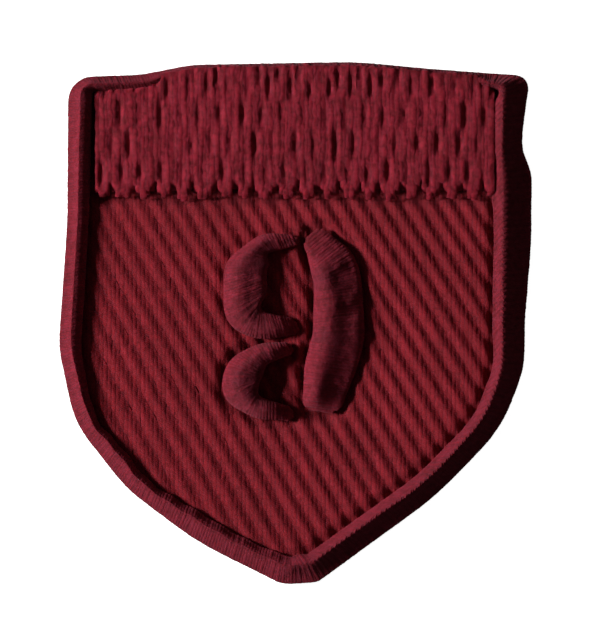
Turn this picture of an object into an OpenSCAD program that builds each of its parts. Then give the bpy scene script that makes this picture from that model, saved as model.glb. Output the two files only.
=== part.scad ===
// Embroidered applique patch: a shield of ribbed cloth that lies face up.
// X runs across the shield, +Y to its top and +Z out of its face. It rests on z = 0.

/* [Shield] */
// Width of the patch over its border
patch_w = 47.2; // [45:0.1:50]
// Height of the patch from the top of the arch to the tip
patch_h = 52.2; // [50:0.1:55]

/* [Cloth] */
// Thickness of the ribbed ground cloth where the border holds its edge
cloth_t = 1; // [0.8:0.05:1.4]

/* [Border] */
// Rise of the ridge above the cloth
ridge_h = 1.1; // [0.8:0.05:1.3]
// Width of the slope from the crest in to the cloth
ridge_in = 0.9; // [0.6:0.05:1.1]
// Thickness of the thread wrapped under the cloth
wrap_t = 0.3; // [0.2:0.05:0.5]
// Height of the border's outermost point
nose_z = 0.8; // [0.6:0.05:1]

/* [Band] */
// Height of the band's lower edge above the middle of the patch
band_low = 12.9; // [11:0.1:15]
// Place of the band's left edge
band_left = -19.9; // [-20:0.1:-18]
// Place of the band's right edge
band_right = 19.4; // [18:0.1:19.4]
// Rise of the band above the cloth
band_h = 0.5; // [0.3:0.05:0.8]

/* [Numeral] */
// Rise of the bowl above the cloth
bowl_h = 2.1; // [1.6:0.1:2.4]
// Rise of the stem above the cloth
stem_h = 1.9; // [1.6:0.1:2.4]
// Rise of the hook above the cloth
hook_h = 2; // [1.6:0.1:2.4]

/* [Detail] */
// Gap between neighbouring pieces
gap = 0.05; // [0.02:0.01:0.1]
// Turn between two sections on a round stretch, in degrees
arc_step = 8; // [5:1:20]

/* [Hidden] */

cloth_z = wrap_t + gap;
face_z = cloth_z + cloth_t + gap;

// Corners of the shield's outline, anticlockwise from the top right, for a patch of table_w by
// table_h. Columns: x, y, radius of the corner, and the step in x and y from the outline in to
// the border's crest.
table_w = 47.2;
table_h = 52.2;
OUTLINE = [
    [23.5, 24.7, 1.3, -2.9, -0.95],
    [13.4, 25.45, 20, 0, -0.85],
    [6, 26.15, 30, 0, -0.85],
    [-10.4, 25.85, 10, 0, -0.85],
    [-15.5, 24.85, 10, 0, -0.85],
    [-22.75, 24.6, 2.5, 1.6, -0.95],
    [-22.85, 10, 40, 1.3, 0],
    [-23.72, -2.4, 9, 1.4, 0],
    [-22.1, -10, 10, 1.45, 0.6],
    [-16.9, -16.6, 14, 1.15, 1.45],
    [-9.9, -21.9, 30, 1.1, 1.9],
    [-1.3, -26.17, 2.5, 0.7, 2.1],
    [2.2, -25.95, 1.2, -0.6, 2.1],
    [13.9, -17.45, 30, -1.2, 1.5],
    [20.6, -10.6, 14, -1.75, 1],
    [22.95, -4.4, 10, -2.35, 0.3],
    [22.95, 0, 20, -2.4, 0],
    [23.6, 8, 30, -3, 0],
    [23.65, 14.9, 3, -3.1, 0],
    [22.7, 17.4, 3, -2.2, 0],
    [22.75, 19.4, 6, -2.2, 0],
];
TOP_ROWS = [4:-1:1];
TOP_RIGHT = 0;
TOP_LEFT = 5;

// Share of the way in to the crest at which the cloth is cut
cut_share = 0.55;
// Most that the inner slope may add to the way in to the crest
slope_share = 0.6;
// Most that the ridge may rise for each millimetre from the edge in to the crest
steepest = 0.75;
// Share of the way in to the crest at which the underside begins
under_share = 0.5;
// Smallest radius of an inner corner
least_r = 0.3;

// Columns: x, y, radius of the bend, half of the column's width
BOWL = [
    [-0.6, 8.3, 0, 0.6],
    [-3.6, 8, 2, 1],
    [-5.3, 5.6, 2.6, 1.85],
    [-5.3, 1.4, 2.6, 1.95],
    [-4, -0.2, 1.6, 1.45],
    [-0.7, -0.3, 0, 0.9],
];
STEM = [
    [3.3, 7.3, 0, 1.9],
    [4, 4.6, 4, 2.4],
    [4.05, -1.4, 4, 2.5],
    [3.1, -4.3, 3, 2.3],
    [2.75, -6.9, 0, 2.1],
];
HOOK = [
    [-1, -2.6, 0, 0.7],
    [-3.5, -3.05, 1.6, 1.1],
    [-5.3, -4.8, 2, 1.75],
    [-5.3, -6.4, 2, 1.85],
    [-4.3, -8.4, 1.6, 1.1],
    [-1, -9, 0, 0.8],
];
// Angles over a column of stitches, from its right foot to its left foot
OVER = [0:15:180];
// Angles of the sections that round off a column's two ends
START_TURNS = [80:-20:20];
END_TURNS = [20:20:80];

// Rounded edge of the band. Columns: step in from the edge, share of the band's rise
BAND_EDGE = [
    [0, 0.45],
    [0.12, 0.78],
    [0.35, 1],
];

function unit(v) = v / norm(v);
function before(list, i) = list[(i + len(list) - 1) % len(list)];
function after(list, i) = list[(i + 1) % len(list)];
function place(row) = [row.x * patch_w / table_w, row.y * patch_h / table_h];
function step_in(row) = [row[3], row[4]];

// Which way a line turns at v: 1 to the left, -1 to the right
function side_at(p, v, n) = sign(cross(v - p, n - v));

// Number of steps in the arc that rounds v
function steps_at(p, v, n) = ceil((180 - acos(unit(p - v) * unit(n - v))) / arc_step) + 1;

// Arc of radius r that rounds v, from the side of p to the side of n
function arc_at(p, v, n, r, steps) =
    let (
        a = unit(p - v),
        b = unit(n - v),
        half = acos(a * b) / 2,
        middle = v + unit(a + b) * r / sin(half),
        start = v + a * r / tan(half) - middle,
        from = atan2(start.y, start.x),
        turn = side_at(p, v, n) * (180 - 2 * half)
    )
    [for (k = [0:steps]) middle + r * [cos(from + turn * k / steps), sin(from + turn * k / steps)]];

// Line round the shield, a share of the way in to the crest that differs from row to row,
// with a height for each row
function rail(shares, heights) =
    let (
        outer = [for (row = OUTLINE) place(row)],
        line = [for (i = [0:len(OUTLINE) - 1]) outer[i] + step_in(OUTLINE[i]) * shares[i]]
    )
    [for (i = [0:len(OUTLINE) - 1])
        let (
            side = side_at(before(outer, i), outer[i], after(outer, i)),
            r = max(OUTLINE[i][2] - side * norm(step_in(OUTLINE[i])) * shares[i], least_r),
            steps = steps_at(before(outer, i), outer[i], after(outer, i))
        )
        for (p = arc_at(before(line, i), line[i], after(line, i), r, steps)) [p.x, p.y, heights[i]]
    ];

// Share of the way in to the crest at which the ridge meets the cloth
function foot_share(way) = 1 + min(ridge_in / way, slope_share);

// The same for what lies just inside the ridge
function inside_share(way) = foot_share(way) + gap / way;

// Flat shape inside a line round the shield
module inside(shares) {
    polygon([for (p = rail(shares, [for (row = OUTLINE) 0])) [p.x, p.y]]);
}

// Cross-section of the border where its crest is way in from the edge: share, height
function section(way) =
    let (
        foot = foot_share(way),
        crest_z = face_z + min(ridge_h, steepest * way),
        groove = cut_share - gap / way
    )
    [
        for (a = [0:22.5:67.5]) [1 + (foot - 1) * cos(a), face_z + (crest_z - face_z) * sin(a)],
        for (a = [0:15:90]) [1 - sin(a), nose_z + (crest_z - nose_z) * cos(a)],
        for (a = [30:30:90]) [under_share * (1 - cos(a)), nose_z * (1 - sin(a))],
        [foot - 0.2, 0],
        [foot, wrap_t / 2],
        [foot, wrap_t],
        [groove, wrap_t],
        [groove, face_z],
    ];

// Faces between closed loops of n points that follow each other
function walls(loops, n, closed) = [
    for (j = [0:loops - (closed ? 1 : 2)], k = [0:n - 1])
        let (
            a = j * n + k,
            b = ((j + 1) % loops) * n + k,
            c = ((j + 1) % loops) * n + (k + 1) % n,
            d = j * n + (k + 1) % n
        )
        each [[a, d, c], [a, c, b]]
];

// Solid through convex loops of points that turn to the left about the way they follow
module loft(loops) {
    n = len(loops[0]);
    first = [for (k = [n - 1:-1:0]) k];
    last = [for (k = [0:n - 1]) (len(loops) - 1) * n + k];
    polyhedron([for (loop = loops) each loop], [first, last, each walls(len(loops), n, false)]);
}

// Direction of a line of points at point i
function along(line, i) = unit(line[min(i + 1, len(line) - 1)] - line[max(i - 1, 0)]);

// Cross-section of a column of stitches at p, across the direction t
function arch(p, t, half_w, rise) = [
    for (a = OVER) [p.x + t.y * half_w * cos(a), p.y - t.x * half_w * cos(a), face_z + rise * sin(a)]
];

// Rounded column of stitches over padding
module column(rows, rise) {
    last = len(rows) - 1;
    points = [for (row = rows) [row.x, row.y]];
    bends = [
        for (i = [1:last - 1])
            let (steps = steps_at(points[i - 1], points[i], points[i + 1]))
            arc_at(points[i - 1], points[i], points[i + 1], rows[i][2], steps)
    ];
    line = [points[0], for (bend = bends) each bend, points[last]];
    half_ws = [
        rows[0][3],
        for (i = [1:last - 1], p = bends[i - 1]) rows[i][3],
        rows[last][3],
    ];
    away = along(line, 0);
    ahead = along(line, len(line) - 1);
    color([0.54, 0.14, 0.2])
        loft([
            for (a = START_TURNS)
                let (w = rows[0][3])
                arch(points[0] - away * w * sin(a), away, w * cos(a), rise * cos(a)),
            for (i = [0:len(line) - 1]) arch(line[i], along(line, i), half_ws[i], rise),
            for (a = END_TURNS)
                let (w = rows[last][3])
                arch(points[last] + ahead * w * sin(a), ahead, w * cos(a), rise * cos(a)),
        ]);
}

// The cloth's edge lies in the border, and inside the border the cloth reaches down to the back
module ground_cloth() {
    color([0.47, 0.11, 0.15]) {
        translate([0, 0, cloth_z])
            linear_extrude(cloth_t)
                inside([for (row = OUTLINE) cut_share]);
        linear_extrude(cloth_z + cloth_t / 2)
            inside([for (row = OUTLINE) inside_share(norm(step_in(row)))]);
    }
}

module border() {
    sections = [for (row = OUTLINE) section(norm(step_in(row)))];
    rails = [
        for (j = [0:len(sections[0]) - 1])
            rail([for (s = sections) s[j][0]], [for (s = sections) s[j][1]])
    ];
    color([0.53, 0.14, 0.2])
        polyhedron([for (line = rails) each line], walls(len(rails), len(rails[0]), true));
}

module band() {
    foot = [for (row = OUTLINE) place(row) + step_in(row) * inside_share(norm(step_in(row)))];
    edge_line = [for (i = [TOP_LEFT:-1:TOP_RIGHT]) foot[i]];
    stations = [
        for (edge = BAND_EDGE) [band_left + edge[0], edge[1]],
        for (i = TOP_ROWS) [foot[i].x, 1],
        for (i = [len(BAND_EDGE) - 1:-1:0]) [band_right - BAND_EDGE[i][0], BAND_EDGE[i][1]],
    ];
    color([0.52, 0.13, 0.19])
        loft([
            for (station = stations)
                let (high = lookup(station.x, edge_line), rise = band_h * station.y)
                [
                    [station.x, high, face_z],
                    for (edge = BAND_EDGE) [station.x, high - edge[0], face_z + rise * edge[1]],
                    for (i = [len(BAND_EDGE) - 1:-1:0])
                        [station.x, band_low + BAND_EDGE[i][0], face_z + rise * BAND_EDGE[i][1]],
                    [station.x, band_low, face_z],
                ]
        ]);
}

module nine_bowl() {
    column(BOWL, bowl_h);
}

module nine_stem() {
    column(STEM, stem_h);
}

module nine_hook() {
    column(HOOK, hook_h);
}

ground_cloth();
border();
band();
nine_bowl();
nine_stem();
nine_hook();
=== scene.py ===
import math
import bpy
import numpy as np
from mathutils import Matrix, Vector
from mathutils.bvhtree import BVHTree


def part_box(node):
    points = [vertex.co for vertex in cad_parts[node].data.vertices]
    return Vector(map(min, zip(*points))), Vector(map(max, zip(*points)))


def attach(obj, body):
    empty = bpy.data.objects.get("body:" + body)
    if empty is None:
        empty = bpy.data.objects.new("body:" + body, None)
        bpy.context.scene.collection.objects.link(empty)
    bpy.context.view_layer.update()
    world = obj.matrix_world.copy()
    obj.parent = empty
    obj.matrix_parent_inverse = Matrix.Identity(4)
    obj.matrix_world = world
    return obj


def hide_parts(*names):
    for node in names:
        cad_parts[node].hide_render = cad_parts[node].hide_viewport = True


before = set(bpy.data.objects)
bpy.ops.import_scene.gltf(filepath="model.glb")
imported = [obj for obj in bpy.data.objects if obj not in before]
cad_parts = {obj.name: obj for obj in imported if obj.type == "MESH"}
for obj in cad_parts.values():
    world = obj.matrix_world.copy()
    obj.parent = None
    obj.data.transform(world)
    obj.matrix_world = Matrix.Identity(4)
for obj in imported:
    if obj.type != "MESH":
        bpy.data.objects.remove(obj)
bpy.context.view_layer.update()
chance = np.random.default_rng(9)

# Every piece is worked out in millimetres and turned into metres when its mesh is made.
MM = 0.001

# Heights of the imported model, and the corners of its band
face_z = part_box("band")[0].z / MM
cloth_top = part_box("ground_cloth")[1].z / MM
band_low, band_high = [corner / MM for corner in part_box("band")]

# The view: its middle, its height and a long lens, so that the patch is seen square on
VIEW_MIDDLE = (0.45, 0.5)
VIEW_HEIGHT = 63.6
LENS = 600
SENSOR = 36

# The key light: direction in degrees, distance, size and power, and the white fill's strength
LIGHT_TURN = 173
LIGHT_RISE = 28
LIGHT_AWAY = 700
LIGHT_SIZE = 150
LIGHT_POWER = 7.2
FILL = 0.05


# Lines in the plan


def length_along(line):
    """How far along a line each of its points is, for one line or for many at once."""
    steps = np.linalg.norm(np.diff(line, axis=-2), axis=-1)
    return np.concatenate([0 * steps[..., :1], np.cumsum(steps, axis=-1)], axis=-1)


def walked(line, places, values=None):
    """The points of a line, or the values given for them, at some distances along it."""
    along = length_along(line)
    values = line if values is None else np.reshape(values, (len(line), -1))
    return np.stack([np.interp(places, along, column) for column in values.T], axis=1)


def closed(loop):
    """The points of a loop, or values round it, with the first again at the end."""
    return np.concatenate([loop, loop[:1]])


def round_points(loop, count):
    """A closed line again, as points that are evenly spaced."""
    total = length_along(closed(loop))[-1]
    return walked(closed(loop), np.linspace(0, total, count, endpoint=False))


def softened(values, reach):
    """Values round a closed line, each averaged with its neighbours."""
    weights = np.hanning(2 * reach + 3)[1:-1]
    weights = weights / weights.sum()
    shifted = [w * np.roll(values, k - reach, axis=0) for k, w in enumerate(weights)]
    return np.sum(shifted, axis=0)


def unit(vectors):
    """Vectors of length one, in the same directions."""
    return vectors / np.linalg.norm(vectors, axis=-1, keepdims=True)


def held(values):
    """Values, no lower than 0 and no higher than 1."""
    return np.clip(values, 0, 1)


def to_right(ways):
    """Directions in the plan, each turned by a quarter turn to the right."""
    return np.stack([ways[:, 1], -ways[:, 0]], -1)


def ring_turns(sides):
    """Angles of the points round a thread."""
    return np.arange(sides) * 2 * math.pi / sides


DRIFT_WAVES = 6


def drift(places, size, seed):
    """A smooth wander between about -1 and 1 over places in any number of directions."""
    waves = np.random.default_rng(seed)
    places = np.asarray(places, float)
    ways = waves.normal(size=(DRIFT_WAVES, places.shape[-1])) * 2 * math.pi / size
    starts = waves.uniform(0, 2 * math.pi, DRIFT_WAVES)
    return np.sin(places @ ways.T + starts).sum(-1) * 2 / DRIFT_WAVES


def placed(name, data):
    """A new object in the scene."""
    made = bpy.data.objects.new(name, data)
    bpy.context.scene.collection.objects.link(made)
    return made


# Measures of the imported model


def tree_of(node):
    """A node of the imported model, ready for rays to be cast at it."""
    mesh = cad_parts[node].data
    corners = [v.co / MM for v in mesh.vertices]
    return BVHTree.FromPolygons(corners, [tuple(face.vertices) for face in mesh.polygons])


def meets(tree, start, way):
    """Where a ray first meets a node, or the start where it passes by."""
    place = tree.ray_cast(Vector(start), Vector(way))[0]
    return np.array(start if place is None else place, float)


# Starts of rays outside the patch, above and below it, and a hair over the cloth's face
OUTSIDE = 60
ABOVE = 10
BELOW = -5
HAIR = 0.01
# The border: how many places round it are measured, the height of its outermost line, and the
# shares of the way in at which its crest is looked for
STATIONS = 1200
NOSE_Z = 0.8
CREST_SEARCH = np.linspace(0.06, 0.94, 30)
# Over how many places to each side its measures are evened out
OUTER_EVENED = 4
PAIRING_EVENED = 26
CREST_EVENED = 14
LOW_LEFT_EVENED = 50
# How far the crest leans outward on the patch's left side, as a share of its way in
CREST_LEAN = 0.2
# Low on the left: the border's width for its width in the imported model, where its crest lies and
# how high, how its foot wanders, and how wide that stretch spreads
LOW_LEFT_WIDTH = 0.8
LOW_LEFT_CREST = 0.71
LOW_LEFT_HEIGHT = 2.1
LOW_LEFT_WANDER = 0.22
LOW_LEFT_SPREAD = 2.6
# The width on the right, under the band
RIGHT_WIDTH = 0.94


def low_left(outward):
    """Whether directions point out of the patch's low left side, 0 to 1."""
    x, y = unit(outward).T
    return held(LOW_LEFT_SPREAD * held(-x) * held(-y))


def paired(outer, foot):
    """The foot again, with the place nearest to each outer place at that one's number. The
    pairing is evened out."""
    apart = np.linalg.norm(outer[:, None] - foot[None], axis=2)
    lead = apart.argmin(1) - np.arange(STATIONS)
    lead = (lead + STATIONS // 2) % STATIONS - STATIONS // 2
    pairing = np.arange(STATIONS) + softened(lead.astype(float), PAIRING_EVENED)
    numbers = np.arange(-STATIONS, 2 * STATIONS)
    return np.stack([np.interp(pairing, numbers, np.tile(column, 3)) for column in foot.T], 1)


def crest_between(tree, outer, foot):
    """The share of the way from the outer line to the foot at which the border is highest, and
    its height there."""
    tops = []
    for start, end in zip(outer, foot):
        line = start + (end - start) * CREST_SEARCH[:, None]
        tops.append([meets(tree, (x, y, ABOVE), (0, 0, -1))[2] for x, y in line])
    share, height = CREST_SEARCH[np.argmax(tops, axis=1)], np.max(tops, axis=1)
    return softened(share, CREST_EVENED), softened(height, CREST_EVENED)


def measure_border():
    """The border's outer line, the foot of its inner slope for each place on it, and the share
    of the way to the foot and the height at which its crest lies."""
    tree = tree_of("border")
    outer, foot = [], []
    for turn in np.linspace(0, 2 * math.pi, 2 * STATIONS, endpoint=False):
        x, y = math.cos(turn), math.sin(turn)
        outer.append(meets(tree, (OUTSIDE * x, OUTSIDE * y, NOSE_Z), (-x, -y, 0))[:2])
        foot.append(meets(tree, (0, 0, face_z + HAIR), (x, y, 0))[:2])
    outer = softened(round_points(np.array(outer), STATIONS), OUTER_EVENED)
    outer = round_points(outer, STATIONS)
    foot = paired(outer, round_points(np.array(foot), STATIONS))
    share, height = crest_between(tree, outer, foot)
    share = share * (1 - CREST_LEAN * held(unit(foot - outer)[:, 0]))
    left = softened(low_left(outer - foot), LOW_LEFT_EVENED)
    share = share * (1 - left) + LOW_LEFT_CREST * left
    right = held(unit(outer - foot)[:, 0]) * (outer[:, 1] < band_low.y)
    right = softened(right, CREST_EVENED)
    narrow = (1 - (1 - LOW_LEFT_WIDTH) * left) * (1 - (1 - RIGHT_WIDTH) * right)
    share = share / (1 - (1 - RIGHT_WIDTH) * right)
    foot = outer + (foot - outer) * narrow[:, None]
    foot = foot + unit(foot - outer) * (LOW_LEFT_WANDER * left * drift(foot, 7, 21))[:, None]
    return outer, foot, share, height * (1 - left) + LOW_LEFT_HEIGHT * left


outer_line, foot_line, crest_share, crest_height = measure_border()
edge_length = length_along(closed(outer_line))[-1]


def round_border(values, places):
    """Values that are known at the stations round the border, at other places round it."""
    found = walked(closed(outer_line), places % edge_length, closed(values))
    return found if values.ndim > 1 else found[:, 0]


# Meshes of threads

# A thread's flat edges stay sharp, in radians
SHARP_ANGLE = 0.8


class Threads:
    """Threads and padding in one mesh."""

    # The flat map of all threads: its cells in a row, and in a cell the start and reach of a side
    # and the places and half size of the two ends
    MAP_COLUMNS = 8
    SIDE_ACROSS = (0.04, 0.92)
    SIDE_UP = (0.1, 0.8)
    ENDS_ACROSS = (0.02, 0.98)
    END_REACH = (0.015, 0.35)

    def __init__(self):
        self.points, self.faces, self.tones_and_painted_light = [], [], []
        self.ply, self.flat_map = [], []
        self.count, self.cells = 0, 0

    def add(self, rings, tones_and_painted_light=0.0, looped=False):
        """Joins surfaces through rings of points, of shape (threads, rings, sides, 3). The tones are one
        number, one for each thread, or one for each of its points, and hold random tone with painted
        light and shade added."""
        threads, steps, sides, _ = rings.shape
        rows = steps if looped else steps - 1
        index = self.count + np.arange(threads * steps * sides).reshape(threads, steps, sides)
        middle = rings.mean(2)
        along = length_along(np.concatenate([middle, middle[:, :1]], axis=1))
        # The ring and the side at the four corners of each face
        ring = np.arange(rows)[:, None, None] + (0, 1, 1, 0)
        side = np.arange(sides)[:, None] + (0, 0, 1, 1)
        self.faces += index[:, ring % steps, side % sides].reshape(-1, 4).tolist()
        around, onward = np.broadcast_arrays(side / sides, along[:, ring])
        self.ply.append(np.stack([around, onward], -1).reshape(-1, 2))
        share = onward / along[:, -1].reshape(-1, 1, 1, 1)
        cell = (self.cells + np.arange(threads))[:, None, None, None]
        (left, wide), (low, tall) = self.SIDE_ACROSS, self.SIDE_UP
        places = cell, left + wide * share, low + tall * around
        self.flat_map.append(np.stack(np.broadcast_arrays(*places), -1).reshape(-1, 3))
        if not looped:
            self.cap(index[:, 0], self.ENDS_ACROSS[0], 0 * along[:, 0])
            self.cap(index[:, -1, ::-1], self.ENDS_ACROSS[1], along[:, rows])
        self.points.append(rings.reshape(-1, 3))
        self.tones_and_painted_light.append(np.broadcast_to(tones_and_painted_light, (threads, steps * sides)).ravel())
        self.count += threads * steps * sides
        self.cells += threads

    def cap(self, ring, share, along):
        """Closes one end of each thread with a face."""
        threads, sides = ring.shape
        turn = ring_turns(sides)
        wide, tall = self.END_REACH
        cell = (self.cells + np.arange(threads))[:, None]
        places = cell, share + wide * np.cos(turn), 0.5 + tall * np.sin(turn)
        around, along = np.broadcast_arrays(np.arange(sides) / sides, along[:, None])
        self.faces += ring.tolist()
        self.ply.append(np.stack([around, along], -1).reshape(-1, 2))
        self.flat_map.append(np.stack(np.broadcast_arrays(*places), -1).reshape(-1, 3))

    def made(self, name, finish):
        """The mesh as an object, with what its finish reads: places round and along each thread, its
        tones with painted light and shade added, and a flat map of all threads side by side."""
        mesh = bpy.data.meshes.new(name)
        mesh.from_pydata(np.concatenate(self.points) * MM, [], self.faces)
        cell, across, up = np.concatenate(self.flat_map).T
        columns, rows = self.MAP_COLUMNS, math.ceil(self.cells / self.MAP_COLUMNS)
        flat_map = np.stack([(cell % columns + across) / columns, (cell // columns + up) / rows], 1)
        for layer, places in (("ply", np.concatenate(self.ply)), ("OFBake", flat_map)):
            mesh.uv_layers.new(name=layer).uv.foreach_set("vector", places.astype(np.float32).ravel())
        tone_and_painted_light = mesh.attributes.new("tone_and_painted_light", "FLOAT", "POINT")
        tone_and_painted_light.data.foreach_set("value", np.concatenate(self.tones_and_painted_light).astype(np.float32))
        mesh.shade_smooth()
        mesh.set_sharp_from_angle(angle=SHARP_ANGLE)
        mesh.materials.append(finish)
        return placed(name, mesh)


def round_rings(line, across, radius, sides, flat=1.0, lumps=0.0, twist=0.0):
    """Rings round the middle lines of threads. across is a direction that the rings' sides
    follow, flat is a thread's thickness for its width, and lumps and twist show its two plies."""
    way = unit(np.gradient(line, axis=1))
    up = unit(np.cross(np.broadcast_to(across, line.shape), way))
    side = np.cross(way, up)
    turn = ring_turns(sides) - math.pi / 2
    plies = 1 + lumps * np.cos(2 * turn - twist * length_along(line)[..., None])
    reach = (np.broadcast_to(radius, line.shape[:2])[..., None] * plies)[..., None]
    return line[:, :, None] + reach * (
        np.cos(turn)[:, None] * side[:, :, None] + flat * np.sin(turn)[:, None] * up[:, :, None]
    )


# Finishes


class Value:
    """A number in a finish. Sums on it add Math nodes."""

    def __init__(self, finish, socket):
        self.finish = finish
        self.socket = socket

    def maths(self, operation, *values):
        made = self.finish.node("ShaderNodeMath", {"operation": operation}, dict(enumerate(values)))
        return Value(self.finish, made.outputs[0])

    def __add__(self, other):
        return self.maths("ADD", self, other)

    __radd__ = __add__

    def __sub__(self, other):
        return self.maths("SUBTRACT", self, other)

    def __rsub__(self, other):
        return self.maths("SUBTRACT", other, self)

    def __mul__(self, other):
        return self.maths("MULTIPLY", self, other)

    __rmul__ = __mul__

    def sine(self):
        return self.maths("SINE", self)

    def held(self):
        """The value, kept between 0 and 1."""
        return self.maths("MINIMUM", self.maths("MAXIMUM", self, 0.0), 1.0)


class Finish:
    """A material that is made node by node."""

    def __init__(self, name):
        self.material = bpy.data.materials.new(name)
        self.material.use_nodes = True
        self.tree = self.material.node_tree
        self.shader = self.tree.nodes["Principled BSDF"]

    def node(self, kind, settings=None, inputs=None):
        """Adds a node, with its settings first and then the values or links of its sockets."""
        made = self.tree.nodes.new(kind)
        for setting, choice in (settings or {}).items():
            setattr(made, setting, choice)
        for socket, value in (inputs or {}).items():
            self.feed(made.inputs[socket], value)
        return made

    def feed(self, socket, value):
        """Sets a socket to a value, or links it to what makes the value."""
        if isinstance(value, Value):
            value = value.socket
        if isinstance(value, bpy.types.NodeSocket):
            self.tree.links.new(value, socket)
        else:
            socket.default_value = value

    def stated(self, values):
        """Sets the shader's own numbers and colours, or links them to what varies."""
        for socket, value in values.items():
            self.feed(self.shader.inputs[socket], value)

    def value(self, kind, settings, inputs, output):
        """One output of a new node, as a number to reckon with."""
        return Value(self, self.node(kind, settings, inputs).outputs[output])

    def parts(self, vector):
        """The three numbers of a vector."""
        made = self.node("ShaderNodeSeparateXYZ", None, {0: vector})
        return [Value(self, made.outputs[axis]) for axis in "XYZ"]

    def joined(self, x, y, z=0.0):
        """A vector of three numbers."""
        return self.node("ShaderNodeCombineXYZ", None, {"X": x, "Y": y, "Z": z}).outputs[0]

    def noise(self, vector, scale, detail=2.0):
        inputs = {"Vector": vector, "Scale": scale, "Detail": detail}
        return self.value("ShaderNodeTexNoise", None, inputs, "Fac")

    def mixed(self, share, low, high):
        """A colour between two colours, which are sockets 6 and 7 of the node."""
        inputs = {"Factor": share, 6: (*low, 1), 7: (*high, 1)}
        return self.node("ShaderNodeMix", {"data_type": "RGBA"}, inputs).outputs[2]

    def bumped(self, height, distance, strength):
        """Roughens the surface by a height."""
        inputs = {"Height": height, "Distance": distance, "Strength": strength}
        self.stated({"Normal": self.node("ShaderNodeBump", None, inputs).outputs["Normal"]})


# How far light spreads inside the thread, in metres
GLOW_REACH = 0.0003
# Colours of the thread, deep in its folds and on its lit side
DEEP_RED = (0.19, 0.006, 0.014)
BRIGHT_RED = (0.37, 0.015, 0.036)
EDGE_DEEP = (0.15, 0.007, 0.014)
EDGE_BRIGHT = (0.26, 0.015, 0.032)
WARP_DEEP = (0.19, 0.008, 0.014)
WARP_BRIGHT = (0.36, 0.017, 0.030)
CLOTH_DEEP = (0.12, 0.005, 0.009)
CLOTH_BRIGHT = (0.36, 0.016, 0.028)
FLOOR_DULL = (0.86, 0.86, 0.86)
FLOOR_PALE = (0.9, 0.9, 0.9)
# Turns that the fibres wind round a thread for each millimetre along it
WOUND = 0.55
# Waves of the uneven colour for each metre: wide clouds, small blots and fluff
THREAD_CLOUDS, BLOTS, THREAD_FLUFF = 130.0, 1600.0, 4200.0
CLOTH_CLOUDS, CLOTH_FLUFF = 160.0, 3200.0
# Spacing of the weft threads on the cloth's reverse, and of their waves
WEFT_PITCH, WEFT_WAVE = 0.42, 0.9


def thread_finish(name, deep, low_left_light, shine, fibres, ridge, fuzz):
    """Spun thread: fine fibres that wind along it, with a soft shine. fibres is their number
    round it, ridge the height of their bump in metres, and fuzz how uneven they are."""
    finish = Finish(name)
    ply = finish.node("ShaderNodeUVMap", {"uv_map": "ply"}).outputs[0]
    around, along, _ = finish.parts(ply)
    # Each point's tone: random, with painted shade in hollows and gaps and painted light low on the left
    # added
    tone_and_painted_light = finish.value("ShaderNodeAttribute", {"attribute_name": "tone_and_painted_light"}, None, "Fac")
    wound = around + along * WOUND
    streaks = finish.noise(finish.joined(wound * fibres, along * 2.5, tone_and_painted_light * 7.0), 1.0, 3.0)
    patches = finish.noise(finish.joined(around * 2.0, along * 0.8, tone_and_painted_light * 13.0), 1.0, 1.0)
    place = finish.node("ShaderNodeTexCoord").outputs["Object"]
    clouds = finish.noise(place, THREAD_CLOUDS, 2.0)
    fluff = finish.noise(place, THREAD_FLUFF, 3.0)
    blots = finish.noise(place, BLOTS, 1.0)
    # How far each of them moves the colour between its deep and its bright red
    share = 0.5 + tone_and_painted_light * 0.2 + (streaks - 0.5) * 0.8 + (patches - 0.5) * 0.4 + (blots - 0.5) * fuzz
    share = (share + (clouds - 0.5) * 0.8 + (fluff - 0.5) * 0.8).held()
    finish.stated({"Base Color": finish.mixed(share, deep, low_left_light), "Roughness": 0.85 - streaks * 0.2})
    lines = (wound * (2 * math.pi * fibres)).sine() * 0.25
    lines = lines + streaks + fluff * 1.2 + blots * (1.5 * fuzz)
    finish.bumped(lines, ridge, 0.7)
    finish.stated({"Specular IOR Level": shine, "Sheen Weight": 0.08, "Sheen Roughness": 0.5})
    finish.stated({"Diffuse Roughness": 1.0, "Sheen Tint": (1.0, 0.5, 0.6, 1)})
    finish.stated({"Subsurface Weight": 0.5, "Subsurface Scale": GLOW_REACH})
    finish.stated({"Subsurface Radius": (1.0, 0.25, 0.25)})
    return finish.material


def cloth_finish():
    """Reverse of the ribbed twill: fine weft threads with faint ribs, dull and dark."""
    finish = Finish("twill_reverse")
    place = finish.node("ShaderNodeTexCoord").outputs["Object"]
    x, y, _ = finish.parts(place)
    sway = (x * (2 * math.pi / (WEFT_WAVE * MM))).sine() * 1.2
    picks = (y * (2 * math.pi / (WEFT_PITCH * MM)) + sway).sine()
    ribs = ((x * WALE_ACROSS + y * WALE_UP) * (2 * math.pi / MM)).sine()
    fluff = finish.noise(place, CLOTH_FLUFF, 3.0)
    clouds = finish.noise(place, CLOTH_CLOUDS, 2.0)
    share = (0.35 + picks * 0.16 + ribs * 0.1 + (fluff - 0.5) * 0.8 + (clouds - 0.5) * 0.6).held()
    colour = finish.mixed(share, CLOTH_DEEP, CLOTH_BRIGHT)
    finish.stated({"Base Color": colour, "Roughness": 0.92 - fluff * 0.15})
    finish.bumped(picks * 0.4 + ribs * 0.4 + fluff, 0.00008, 0.8)
    finish.stated({"Specular IOR Level": 0.2, "Sheen Weight": 0.2, "Sheen Roughness": 0.5})
    return finish.material


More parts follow.
